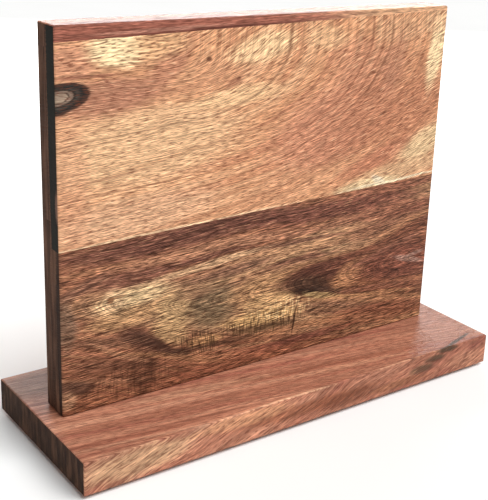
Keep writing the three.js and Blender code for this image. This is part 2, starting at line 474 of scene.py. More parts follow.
@dataclass(frozen=True)
class Acacia:
    """Oiled acacia, planed and sanded: brown to honey bands, fine dark pores and a low, warm gloss.

    The bands come from growth lines, the flecks from the open pores that sanding leaves, and the soft
    gloss from one thin coat of oil over fibres that lie in different directions. Where `flat` is set the
    face is a board's top, and otherwise it stands upright. `zones` are broad tones at measures across the
    grain, laid under the bands, and `warp` is how many millimetres the growth lines wander.
    """

    name: str
    corner: tuple[float, float, float]
    facing: tuple[float, float, float]
    flat: bool
    figure: Figure
    ground: tuple[str, ...]
    marks: tuple[Stroke | Knot, ...] = ()
    lines: tuple[RingLine, ...] = ()
    line_tone: str = "#7c4a35"
    band_width: float = 9.0
    zones: tuple[tuple[float, str], ...] = ()
    zone_span: tuple[float, float] = (-150.0, 272.0)
    warp: float = 3.0
    pore_tone: str = "#5c3020"
    pore_depth: float = 0.5
    contrast: float = 0.3
    ring_contrast: float = 0.2
    gloss: float = 0.1
    # End tones are partly the darker end grain and partly painted shade on ends that face away from the
    # light.
    end_tones_with_shade: tuple[str, ...] = ("#402b20", "#573b2d", "#70503e")
    # End marks include painted shade: dark patches over ends that face away from the light.
    end_marks_with_shade: tuple[Stroke, ...] = ()
    seed: float = 0.0

    def build(self) -> bpy.types.Material:
        """Build the material.

        Returns:
            The finished material.
        """
        material = bpy.data.materials.new(self.name)
        graph = Graph(material)
        point = self._face_point(graph)
        warped = self._warp(graph, point)
        grain = self.figure.grain(graph, warped)
        bands = self._drawn_out(graph, grain.across, grain, (BAND_LENGTH, self.band_width), 3.0, 0.55, 0.0)
        fibre = self._drawn_out(graph, grain.across_pores, grain, FIBRE, 2.0, 0.6, 40.0)
        breakup = graph.add("Math", {0: fibre, 1: 0.5}, operation="SUBTRACT")
        frayed = graph.add("Math", {0: breakup, 1: PATCH_FRAY}, operation="MULTIPLY")
        tone = self._ground(graph, grain, bands)
        for mark in self.marks:
            tone = mark.lay(graph, warped, frayed, tone)
        tone = self._ring_lines(graph, grain, tone, breakup)
        dashes = self._drawn_out(graph, grain.across_pores, grain, PORE, 1.0, 0.5, 80.0)
        pores = graph.add(
            "MapRange",
            {0: dashes, 1: PORE_EDGE[0], 2: PORE_EDGE[1], 3: 0.0, 4: 1.0},
            interpolation_type="SMOOTHSTEP",
        )
        laminae = self._drawn_out(graph, grain.across, grain, LAMINA, 3.0, 0.68, 20.0)
        tone = self._textured(graph, tone, laminae, fibre, dashes, pores)
        sawn = self._sawn_end(graph)
        tone = self._end_grain_and_shade(graph, tone, point, frayed, sawn)
        self._surface(graph, tone, fibre, pores, sawn)
        return material

    def _face_point(self, graph: Graph) -> Node:
        """Add the nodes that give the place on the board's own face, in millimetres.

        Args:
            graph: The material being built.

        Returns:
            The place.
        """
        coordinates = graph.add("TexCoord")
        scale = [side / MM for side in self.facing]
        offset = [-corner * side for corner, side in zip(self.corner, scale)]
        placed = graph.add(
            "Mapping", {"Vector": coordinates.outputs["Object"], "Location": offset, "Scale": scale}
        )
        if self.flat:
            return placed
        axes = graph.add("SeparateXYZ", {0: placed})
        return graph.add("CombineXYZ", {0: axes.outputs["X"], 1: axes.outputs["Z"], 2: axes.outputs["Y"]})

    def _warp(self, graph: Graph, point: Node) -> Node:
        """Add the slow wander that keeps every growth line from being ruled, and a finer one on it.

        Args:
            graph: The material being built.
            point: The place on the face.

        Returns:
            The warped place.
        """
        total = point
        for lengths, amount in (((70.0, 30.0, 30.0), self.warp), ((26.0, 8.0, 10.0), self.warp * 0.12)):
            place = graph.add(
                "Mapping",
                {
                    "Vector": point,
                    "Location": (self.seed, self.seed * 0.7, 0.0),
                    "Scale": [1.0 / length for length in lengths],
                },
            )
            noise = graph.add("TexNoise", {"Vector": place, "Scale": 1.0, "Detail": 1.0})
            centred = graph.add(
                "VectorMath", {0: noise.outputs["Color"], 1: (0.5, 0.5, 0.5)}, operation="SUBTRACT"
            )
            total = graph.add(
                "VectorMath",
                {0: centred, 1: (2.0 * amount, 2.0 * amount, amount), 2: total},
                operation="MULTIPLY_ADD",
            )
        return total

    def _drawn_out(
        self,
        graph: Graph,
        across: Node,
        grain: Grain,
        size: tuple[float, float],
        detail: float,
        rough: float,
        shift: float,
    ) -> Socket:
        """Add noise drawn out along the grain, its `size` given along and across in millimetres.

        Args:
            graph: The material being built.
            across: The measure across the grain.
            grain: The board's measures.
            size: The noise's size along and across, in millimetres.
            detail: Its octaves.
            rough: How strong the finer octaves are.
            shift: What sets it apart from the board's other noises.

        Returns:
            The noise, from 0 to 1.
        """
        place = graph.add("CombineXYZ", {0: grain.along, 1: across, 2: self.seed + shift})
        scaled = graph.add("Mapping", {"Vector": place, "Scale": (1.0 / size[0], 1.0 / size[1], 1.0)})
        noise = graph.add(
            "TexNoise", {"Vector": scaled, "Scale": 1.0, "Detail": detail, "Roughness": rough}
        )
        return noise.outputs["Fac"]

    def _ground(self, graph: Graph, grain: Grain, bands: Socket) -> Node:
        """Add the board's ground tones, banded across the grain, with any named zones under them.

        Args:
            graph: The material being built.
            grain: The board's measures.
            bands: The noise that picks the tone.

        Returns:
            The tones.
        """
        first, last = BAND_SPAN
        step = (last - first) / (len(self.ground) - 1)
        stops = [(first + step * index, linear(tone)) for index, tone in enumerate(self.ground)]
        tone = graph.add("ValToRGB", {0: bands}, stops=stops)
        if not self.zones:
            return tone
        start, end = self.zone_span
        place = graph.add("MapRange", {0: grain.across, 1: start, 2: end})
        zone_stops = [((at - start) / (end - start), linear(colour)) for at, colour in self.zones]
        zone = graph.add("ValToRGB", {0: place}, stops=zone_stops)
        return graph.add("Mix", {MIX_FACTOR: ZONE_SHARE, MIX_A: tone, MIX_B: zone}, data_type="RGBA")

    def _ring_lines(self, graph: Graph, grain: Grain, tone: Node, breakup: Node) -> Node:
        """Add the single dark growth lines.

        Args:
            graph: The material being built.
            grain: The board's measures.
            tone: The tones so far.
            breakup: Fibre noise centred on zero, which frays the lines.

        Returns:
            The tones with the lines.
        """
        if not self.lines:
            return tone
        span = max(line.at for line in self.lines) + LINE_MARGIN
        place = graph.add("Math", {0: breakup, 1: LINE_FRAY, 2: grain.across}, operation="MULTIPLY_ADD")
        share = graph.add("Math", {0: place, 1: span}, operation="DIVIDE")
        stops = [(0.0, CLEAR)]
        for line in self.lines:
            stops.append(((line.at - line.width) / span, CLEAR))
            stops.append((line.at / span, (line.depth, line.depth, line.depth, 1.0)))
            stops.append(((line.at + line.width * LINE_FALL) / span, CLEAR))
        shown = graph.add("ValToRGB", {0: share}, stops=stops)
        return graph.add(
            "Mix", {MIX_FACTOR: shown, MIX_A: tone, MIX_B: linear(self.line_tone)}, data_type="RGBA"
        )

    def _textured(
        self, graph: Graph, tone: Node, laminae: Socket, fibre: Socket, dashes: Socket, pores: Node
    ) -> Node:
        """Lighten and darken the tone ring by ring and fibre by fibre, and darken it in the pores.

        Args:
            graph: The material being built.
            tone: The tones so far.
            laminae: Noise that follows the rings.
            fibre: Noise that follows the fibres.
            dashes: The noise that the pores come from.
            pores: The pores' mask.

        Returns:
            The textured tones.
        """
        lift = graph.add(
            "MapRange",
            {0: fibre, 1: NOISE_LOW, 2: NOISE_HIGH, 3: 1.0 - self.contrast, 4: 1.0 + self.contrast},
        )
        glint = graph.add(
            "MapRange", {0: dashes, 1: NOISE_LOW, 2: GLINT_END, 3: 1.0 + self.contrast, 4: 1.0}
        )
        ring = graph.add(
            "MapRange",
            {
                0: laminae,
                1: LAMINA_SPAN[0],
                2: LAMINA_SPAN[1],
                3: 1.0 - self.ring_contrast,
                4: 1.0 + self.ring_contrast,
            },
        )
        fibred = graph.add("Math", {0: lift, 1: glint}, operation="MULTIPLY")
        light = graph.add("Math", {0: fibred, 1: ring}, operation="MULTIPLY")
        lit = graph.add("VectorMath", {0: tone, "Scale": light}, operation="SCALE")
        amount = graph.add("Math", {0: pores, 1: self.pore_depth}, operation="MULTIPLY")
        return graph.add(
            "Mix",
            {MIX_FACTOR: amount, MIX_A: lit, MIX_B: linear(self.pore_tone)},
            data_type="RGBA",
        )

    @staticmethod
    def _sawn_end(graph: Graph) -> Node:
        """Add the mask that is 1 on the board's two ends and 0 along its sides.

        Args:
            graph: The material being built.

        Returns:
            The mask.
        """
        coordinates = graph.add("TexCoord")
        axes = graph.add("SeparateXYZ", {0: coordinates.outputs["Normal"]})
        endwise = graph.add("Math", {0: axes.outputs["X"]}, operation="ABSOLUTE")
        return graph.add(
            "MapRange",
            {0: endwise, 1: END_EDGE[0], 2: END_EDGE[1], 3: 0.0, 4: 1.0},
            interpolation_type="SMOOTHSTEP",
        )

    def _end_grain_and_shade(self, graph: Graph, tone: Node, point: Node, frayed: Node, sawn: Node) -> Node:
        """Darken the sawn ends, partly as the darker end grain, where open fibres drink the oil, and partly
        as painted shade on ends that face away from the light.

        Args:
            graph: The material being built.
            tone: The tones so far.
            point: The place on the face.
            frayed: Fibre noise for the marks' edges.
            sawn: The mask of the ends.

        Returns:
            The tones with the ends.
        """
        scale = (0.03, 0.3, 0.06) if self.flat else (0.03, 0.03, 0.3)
        place = graph.add("Mapping", {"Vector": point, "Location": (self.seed,) * 3, "Scale": scale})
        streaks = graph.add("TexNoise", {"Vector": place, "Scale": 1.0, "Detail": 4.0})
        # These end tones hold painted shade as well as the darker end grain.
        stops = [(0.36 + 0.14 * index, linear(colour)) for index, colour in enumerate(self.end_tones_with_shade)]
        ends = graph.add("ValToRGB", {0: streaks.outputs["Fac"]}, stops=stops)
        for mark in self.end_marks_with_shade:
            ends = mark.lay(graph, point, frayed, ends)
        return graph.add("Mix", {MIX_FACTOR: sawn, MIX_A: tone, MIX_B: ends}, data_type="RGBA")

    def _surface(self, graph: Graph, tone: Node, fibre: Socket, pores: Node, sawn: Node) -> None:
        """Add the oiled surface: fibres that stand a little proud, open pores, and matt ends.

        Args:
            graph: The material being built.
            tone: The finished tones.
            fibre: Noise that follows the fibres.
            pores: The pores' mask.
            sawn: The mask of the ends.
        """
        relief = graph.add("Math", {0: pores, 1: -PORE_SINK, 2: fibre}, operation="MULTIPLY_ADD")
        bump = graph.add("Bump", {"Strength": 0.6, "Distance": FIBRE_RELIEF, "Height": relief})
        roughness = graph.add(
            "MapRange",
            {0: fibre, 1: NOISE_LOW, 2: NOISE_HIGH, 3: OIL_ROUGHNESS[0], 4: OIL_ROUGHNESS[1]},
        )
        matted = graph.add("Math", {0: sawn, 1: END_MATTING, 2: roughness}, operation="MULTIPLY_ADD")
        shader = graph.add(
            "BsdfPrincipled",
            {
                "Base Color": tone,
                "Roughness": matted,
                "Normal": bump,
                "IOR": OIL_IOR,
                "Specular IOR Level": self.gloss,
            },
        )
        graph.show(shader)


@dataclass(frozen=True)
class PlainFinish:
    """A single-tone finish, varied by fine noise in colour, gloss and relief."""

    name: str
    tone: str
    worn_tone: str
    roughness: float
    grit: float
    relief: float = 0.00004
    metallic: float = 0.0
    stretch: tuple[float, float, float] = (1.0, 1.0, 1.0)

    def build(self) -> bpy.types.Material:
        """Build the material.

        Returns:
            The finished material.
        """
        material = bpy.data.materials.new(self.name)
        graph = Graph(material)
        coordinates = graph.add("TexCoord")
        scale = [side / (self.grit * MM) for side in self.stretch]
        place = graph.add("Mapping", {"Vector": coordinates.outputs["Object"], "Scale": scale})
        fine = graph.add("TexNoise", {"Vector": place, "Scale": 1.0, "Detail": 3.0})
        broad = graph.add("TexNoise", {"Vector": place, "Scale": 0.12, "Detail": 2.0})
        worn = graph.add("MapRange", {0: broad.outputs["Fac"], 1: 0.4, 2: 0.7})
        tone = graph.add(
            "Mix",
            {MIX_FACTOR: worn, MIX_A: linear(self.tone), MIX_B: linear(self.worn_tone)},
            data_type="RGBA",
        )
        roughness = graph.add(
            "MapRange",
            {
                0: fine.outputs["Fac"],
                1: NOISE_LOW,
                2: NOISE_HIGH,
                3: self.roughness - GLOSS_SPREAD,
                4: self.roughness + GLOSS_SPREAD,
            },
        )
        bump = graph.add("Bump", {"Strength": 0.5, "Distance": self.relief, "Height": fine.outputs["Fac"]})
        shader = graph.add(
            "BsdfPrincipled",
            {"Base Color": tone, "Roughness": roughness, "Normal": bump, "Metallic": self.metallic},
        )
        graph.show(shader)
        return material


class Slot(Enum):
    """The record's material slots."""

    ACACIA_LIGHT = "acacia_light"
    ACACIA_DARK = "acacia_dark"
    ACACIA_BASE = "acacia_base"
    NICKEL = "nickel_plate"
    ZINC = "zinc_plate"
    BEECH = "beech"
    RUBBER = "rubber"


def finish_piece(
    mesh: bpy.types.Mesh, name: str, material: bpy.types.Material, node: str
) -> bpy.types.Object:
    """Turn a mesh into a piece that stands for a CAD node and rides on its body.

    Args:
        mesh: The finished mesh, in the model's frame.
        name: The piece's name.
        material: Its finish.
        node: The CAD node that it replaces.

    Returns:
        The piece.
    """
    piece = bpy.data.objects.new(name, mesh)
    bpy.context.scene.collection.objects.link(piece)
    mesh.materials.clear()
    mesh.materials.append(material)
    mesh.shade_smooth()
    mesh.set_sharp_from_angle(angle=SMOOTH_ANGLE)
    weighted = piece.modifiers.new("Even shading", "WEIGHTED_NORMAL")
    weighted.keep_sharp = True
    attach(piece, BODY)
    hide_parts(node)
    log.info("%s: %d faces, %s", name, len(mesh.polygons), material.name)
    return piece


def mesh_from(build: Callable[[bmesh.types.BMesh], None], name: str) -> bpy.types.Mesh:
    """Run a builder on an empty bmesh and keep the result.

    Args:
        build: What fills the bmesh.
        name: The mesh's name.

    Returns:
        The mesh, with its faces pointing out.
    """
    bm = bmesh.new()
    build(bm)
    bmesh.ops.recalc_face_normals(bm, faces=bm.faces)
    mesh = bpy.data.meshes.new(name)
    bm.to_mesh(mesh)
    bm.free()
    return mesh


def turned(
    section: Iterable[tuple[float, float]], centre: Vector, name: str, steps: int = ROUND_STEPS
) -> bpy.types.Mesh:
    """Turn a half section about an upright axis.

    Args:
        section: Radius and height points, from axis to axis.
        centre: Where the axis stands, at height 0 of the section.
        name: The mesh's name.
        steps: How many steps make the full turn.

    Returns:
        The mesh.
    """

    def build(bm: bmesh.types.BMesh) -> None:
        """Spin the section round and close its seam.

        Args:
            bm: The bmesh to fill.
        """
        verts = [bm.verts.new(centre + Vector((radius, 0.0, height))) for radius, height in section]
        edges = [bm.edges.new(pair) for pair in zip(verts, verts[1:])]
        bmesh.ops.spin(
            bm, geom=verts + edges, cent=centre, axis=(0.0, 0.0, 1.0),
            angle=math.tau, steps=steps, use_merge=True,
        )
        bmesh.ops.remove_doubles(bm, verts=bm.verts, dist=SAME_PLACE)

    return mesh_from(build, name)


def standing(node: str) -> tuple[Vector, float]:
    """Find where a node stands.

    Args:
        node: The CAD node.

    Returns:
        The middle of its underside, and its height.
    """
    low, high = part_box(node)
    return Vector(((low.x + high.x) / 2, (low.y + high.y) / 2, low.z)), high.z - low.z


def carve(mesh: bpy.types.Mesh, cutters: Iterable[bpy.types.Mesh]) -> bpy.types.Mesh:
    """Cut each cutter out of a mesh.

    Args:
        mesh: What is cut.
        cutters: Closed meshes, in the same frame.

    Returns:
        The cut mesh.
    """
    scene = bpy.context.scene.collection
    blank = bpy.data.objects.new("blank", mesh)
    scene.objects.link(blank)
    tools = []
    for cutter in cutters:
        tool = bpy.data.objects.new("cutter", cutter)
        scene.objects.link(tool)
        cut = blank.modifiers.new("Cut", "BOOLEAN")
        cut.operation = "DIFFERENCE"
        cut.solver = "EXACT"
        cut.object = tool
        tools.append(tool)
    bpy.context.view_layer.update()
    evaluated = blank.evaluated_get(bpy.context.evaluated_depsgraph_get())
    result = bpy.data.meshes.new_from_object(evaluated)
    result.name = mesh.name
    for tool in [*tools, blank]:
        spare = tool.data
        bpy.data.objects.remove(tool)
        bpy.data.meshes.remove(spare)
    return result


@dataclass
class Fastenings:
    """Screws and dowels between base and board, with the holes that they sit in."""

    clearance: float = 0.3 * MM
    overshoot: float = 5.0 * MM
    screw_steps: int = 40
    head_radius: float = 4.6 * MM
    head_rim: float = 0.4 * MM
    head_edge: float = 0.15 * MM
    recess_size: tuple[float, float, float] = (5.0 * MM, 0.9 * MM, 4.0 * MM)
    recess_taper: tuple[float, float] = (0.35, 0.6)
    neck_radius: float = 1.9 * MM
    core_radius: float = 1.7 * MM
    thread_radius: float = 2.5 * MM
    thread_pitch: float = 2.6 * MM
    thread_start: float = 20.0 * MM
    threads: int = 10
    dowel_radius: float = 4.0 * MM
    dowel_chamfer: float = 1.0 * MM
    dowel_flutes: int = 12
    flute_depth: float = 0.3 * MM
    screws: tuple[str, ...] = ("base_screw_left", "base_screw_middle", "base_screw_right")
    dowels: tuple[str, ...] = ("dowel_left", "dowel_right")

    def hole_cutters(self) -> list[bpy.types.Mesh]:
        """Make one cutter for each screw hole and dowel hole.

        Returns:
            The cutters' meshes.
        """
        cutters = []
        for node in self.screws:
            centre, length = standing(node)
            mouth = self.head_radius + self.clearance
            bore = self.thread_radius + self.clearance
            cone = self.head_rim + self.head_radius + self.clearance * math.sqrt(2.0)
            top = length + self.clearance
            section = [
                (0.0, -self.overshoot), (mouth, -self.overshoot), (mouth, cone - mouth), (bore, cone - bore),
                (bore, top), (0.0, top),
            ]
            cutters.append(turned(section, centre, "screw_hole"))
        for node in self.dowels:
            centre, length = standing(node)
            radius = self.dowel_radius + self.clearance
            top = length + self.clearance
            section = [(0.0, -self.clearance), (radius, -self.clearance), (radius, top), (0.0, top)]
            cutters.append(turned(section, centre, "dowel_hole"))
        return cutters

    def build(self, zinc: bpy.types.Material, beech: bpy.types.Material) -> None:
        """Build the screws and dowels.

        Args:
            zinc: The screws' finish.
            beech: The dowels' finish.
        """
        for node in self.screws:
            finish_piece(self._screw(node), f"{node}_turned", zinc, node)
        for node in self.dowels:
            finish_piece(self._dowel(node), f"{node}_fluted", beech, node)

    def _screw(self, node: str) -> bpy.types.Mesh:
        """Build a countersunk screw, head down, with a cross recess.

        Args:
            node: The CAD node it stands for.

        Returns:
            The screw's mesh.
        """
        centre, length = standing(node)
        section = [
            (0.0, 0.0), (self.head_radius - self.head_edge, 0.0), (self.head_radius, self.head_edge),
            (self.head_radius, self.head_rim),
            (self.neck_radius, self.head_rim + self.head_radius - self.neck_radius),
            (self.neck_radius, self.thread_start),
        ]
        ridge = ((self.core_radius, 0.3), (self.thread_radius, 0.5), (self.core_radius, 0.7))
        for turn in range(self.threads):
            height = self.thread_start + turn * self.thread_pitch
            section += [(radius, height + share * self.thread_pitch) for radius, share in ridge]
        section.append((0.0, length))
        shank = turned(section, centre, node, self.screw_steps)
        return carve(shank, [self._recess(centre, angle) for angle in (45.0, 135.0)])

    def _recess(self, centre: Vector, angle: float) -> bpy.types.Mesh:
        """Make one tapered arm of the cross recess.

        Args:
            centre: The middle of the screw's head.
            angle: How far the arm is turned, in degrees.

        Returns:
            The cutter's mesh.
        """

        def build(bm: bmesh.types.BMesh) -> None:
            """Taper a block, then turn and place it.

            Args:
                bm: The bmesh to fill.
            """
            bmesh.ops.create_cube(bm, size=1.0)
            bmesh.ops.scale(bm, vec=self.recess_size, verts=bm.verts)
            for vert in bm.verts:
                if vert.co.z > 0:
                    vert.co.x *= self.recess_taper[0]
                    vert.co.y *= self.recess_taper[1]
            turn = Matrix.Rotation(math.radians(angle), 3, "Z")
            bmesh.ops.rotate(bm, cent=(0, 0, 0), matrix=turn, verts=bm.verts)
            bmesh.ops.translate(bm, vec=centre, verts=bm.verts)

        return mesh_from(build, "recess")

    def _dowel(self, node: str) -> bpy.types.Mesh:
        """Build a fluted dowel with chamfered ends.

        Args:
            node: The CAD node it stands for.

        Returns:
            The dowel's mesh.
        """
        centre, length = standing(node)

        def build(bm: bmesh.types.BMesh) -> None:
            """Extrude a fluted circle and chamfer its ends.

            Args:
                bm: The bmesh to fill.
            """
            made = bmesh.ops.create_circle(
                bm, cap_ends=True, segments=self.dowel_flutes * 4, radius=self.dowel_radius
            )
            for index, vert in enumerate(made["verts"]):
                if index % 4 == 0:
                    vert.co *= 1.0 - self.flute_depth / self.dowel_radius
            raised = bmesh.ops.extrude_face_region(bm, geom=list(bm.faces))
            tops = [item for item in raised["geom"] if isinstance(item, bmesh.types.BMVert)]
            bmesh.ops.translate(bm, vec=(0, 0, length), verts=tops)
            caps = [face for face in bm.faces if len(face.verts) > 4]
            rims = {edge for face in caps for edge in face.edges}
            bmesh.ops.bevel(
                bm, geom=list(rims), offset=self.dowel_chamfer, segments=1, profile=0.5,
                affect="EDGES", material=-1,
            )
            bmesh.ops.translate(bm, vec=centre, verts=bm.verts)

        return mesh_from(build, node)


@dataclass
class Feet:
    """Stick-on rubber feet: shallow truncated cones with a rounded rim."""

    nodes: tuple[str, ...] = ("foot_front_left", "foot_front_right", "foot_back_left", "foot_back_right")
    rim: float = 0.5 * MM
    rim_steps: int = 6
    taper: float = 0.6 * MM

    def build(self, rubber: bpy.types.Material) -> None:
        """Build the feet.

        Args:
            rubber: Their finish.
        """
        for node in self.nodes:
            centre, height = standing(node)
            low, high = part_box(node)
            radius = (high.x - low.x) / 2
            foot = radius - self.taper
            arc = [math.pi / 2 * step / self.rim_steps for step in range(self.rim_steps + 1)]
            section = [(0.0, 0.0)]
            section += [
                (foot - self.rim + self.rim * math.sin(turn), self.rim - self.rim * math.cos(turn))
                for turn in arc
            ]
            section += [(radius, height), (0.0, height)]
            finish_piece(turned(section, centre, node), f"{node}_pad", rubber, node)


@dataclass
class Magnets:
    """Nickel-plated bar magnets, kept as the CAD nodes and given their plating."""

    clearance: float = 0.3 * MM
    mouth: float = 2.0 * MM

    def build(self, nickel: bpy.types.Material) -> None:
        """Dress every magnet.

        Args:
            nickel: Their plating.
        """
        for name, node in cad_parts.items():
            if "_magnet_" in name:
                for slot in node.material_slots:
                    slot.material = nickel
                log.info("%s: %s", name, nickel.name)

    def pocket_cutters(self, row: str, inner_y: float) -> list[bpy.types.Mesh]:
        """Make the cutters for the pockets of one row of magnets.

        Args:
            row: What the row's node names start with, such as "front_magnet_upper".
            inner_y: The panel's inner face.

        Returns:
            The cutters' meshes.
        """
        cutters = []
        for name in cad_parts:
            if not name.startswith(row):
                continue
            low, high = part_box(name)
            low = low - Vector((self.clearance,) * 3)
            high = high + Vector((self.clearance,) * 3)
            if row.startswith("front"):
                high.y = inner_y + self.mouth
            else:
                low.y = inner_y - self.mouth
            cutters.append(mesh_from(lambda bm: block(bm, low, high), "pocket"))
        return cutters


def block(bm: bmesh.types.BMesh, low: Vector, high: Vector) -> None:
    """Add a block between two corners.

    Args:
        bm: The bmesh to fill.
        low: Its lowest corner.
        high: Its highest corner.
    """
    bmesh.ops.create_cube(bm, size=1.0)
    bmesh.ops.scale(bm, vec=high - low, verts=bm.verts)
    bmesh.ops.translate(bm, vec=(low + high) / 2, verts=bm.verts)


def ease_edges(bm: bmesh.types.BMesh, planes: Iterable[tuple[int, float]], radius: float) -> None:
    """Round every edge where two of the given outer planes meet.

    Args:
        bm: The bmesh to work on.
        planes: Axis number and place of each outer plane.
        radius: How far the rounding reaches.
    """
    planes = list(planes)

    def on_plane(vert: bmesh.types.BMVert, plane: tuple[int, float]) -> bool:
        """Whether a vertex lies on a plane."""
        return abs(vert.co[plane[0]] - plane[1]) < SAME_PLACE

    eased = []
    for edge in bm.edges:
        shared = [plane for plane in planes if all(on_plane(vert, plane) for vert in edge.verts)]
        if len(shared) >= 2:
            eased.append(edge)
    bmesh.ops.bevel(bm, geom=eased, offset=radius, segments=5, profile=0.5, affect="EDGES", material=-1)


@dataclass
class BaseBoard:
    """The flat board that the rack stands on."""

    node: str = "base_board"
    easing: float = 0.9 * MM

    def build(self, wood: bpy.types.Material, holes: list[bpy.types.Mesh]) -> None:
        """Build the base board.

        Args:
            wood: Its finish.
            holes: Cutters for the screw and dowel holes.
        """
        low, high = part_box(self.node)

        def shape(bm: bmesh.types.BMesh) -> None:
            """Block out the board and ease its edges.

            Args:
                bm: The bmesh to fill.
            """
            block(bm, low, high)
            planes = [(axis, corner[axis]) for axis in range(3) for corner in (low, high)]
            ease_edges(bm, planes, self.easing)

        mesh = carve(mesh_from(shape, self.node), holes)
        finish_piece(mesh, "base_board_eased", wood, self.node)


@dataclass
class Panel:
    """One half of the upright board's thickness: three staves glued edge to edge."""

    side: str
    joints: dict[str, tuple[float, float]]
    easing: float = 1.1 * MM

    @property
    def bounds(self) -> tuple[Vector, Vector]:
        """The panel's lowest and highest corner, over its three staves.

        Returns:
            Both corners.
        """
        boxes = [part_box(f"{self.side}_{stave}") for stave in ("lower_stave", "upper_stave", "top_strip")]
        low = Vector([min(box[0][axis] for box in boxes) for axis in range(3)])
        high = Vector([max(box[1][axis] for box in boxes) for axis in range(3)])
        return low, high

    def stave(
        self, below: str | None, above: str | None, cutters: list[bpy.types.Mesh], name: str
    ) -> bpy.types.Mesh:
        """Build one stave between two glue lines.

        Args:
            below: The glue line under it, or None at the board's foot.
            above: The glue line over it, or None at the board's top.
            cutters: Pockets and holes to cut.
            name: The mesh's name.

        Returns:
            The stave's mesh.
        """
        low, high = self.bounds
        outer_y = low.y if self.side == "front" else high.y

        def height(joint: str | None, limit: float, left: bool) -> float:
            """Height of a glue line at one end of the board, or the limit where there is none."""
            return limit if joint is None else low.z + self.joints[joint][0 if left else 1] * MM

        def shape(bm: bmesh.types.BMesh) -> None:
            """Block out the stave and ease its outer edges.

            Args:
                bm: The bmesh to fill.
            """
            block(bm, low, high)
            for vert in bm.verts:
                left = vert.co.x < (low.x + high.x) / 2
                top = vert.co.z > (low.z + high.z) / 2
                vert.co.z = height(above, high.z, left) if top else height(below, low.z, left)
            planes = [(0, low.x), (0, high.x), (1, outer_y)]
            planes += [(2, high.z)] if above is None else []
            planes += [(2, low.z)] if below is None else []
            ease_edges(bm, planes, self.easing)

        return carve(mesh_from(shape, name), cutters)


@dataclass
class UprightBoard:
    """The magnetic board: a front and a back panel with magnets between them."""

    magnets: Magnets
    front: Panel = field(
        default_factory=lambda: Panel("front", {"main": (97.0, 104.0), "top": (207.5, 213.5)})
    )
    back: Panel = field(
        default_factory=lambda: Panel("back", {"main": (112.0, 107.0), "top": (204.0, 207.0)})
    )

    def build(self, woods: dict[str, bpy.types.Material], fastenings: Fastenings) -> None:
        """Build all six staves.

        Args:
            woods: The finish of each stave, by its node.
            fastenings: The screws and dowels whose holes cut the lower staves.
        """
        layout = (
            ("lower_stave", None, "main", Slot.ACACIA_DARK),
            ("upper_stave", "main", "top", Slot.ACACIA_LIGHT),
            ("top_strip", "top", None, Slot.ACACIA_DARK),
        )
        for panel in (self.front, self.back):
            low, high = panel.bounds
            inner_y = high.y if panel.side == "front" else low.y
            for stave, below, above, slot in layout:
                node = f"{panel.side}_{stave}"
                cutters = []
                if stave != "top_strip":
                    row = stave.split("_")[0]
                    cutters += self.magnets.pocket_cutters(f"{panel.side}_magnet_{row}", inner_y)
                if stave == "lower_stave":
                    cutters += fastenings.hole_cutters()
                mesh = panel.stave(below, above, cutters, node)
                finish_piece(mesh, f"{node}_planed", woods[node], node)


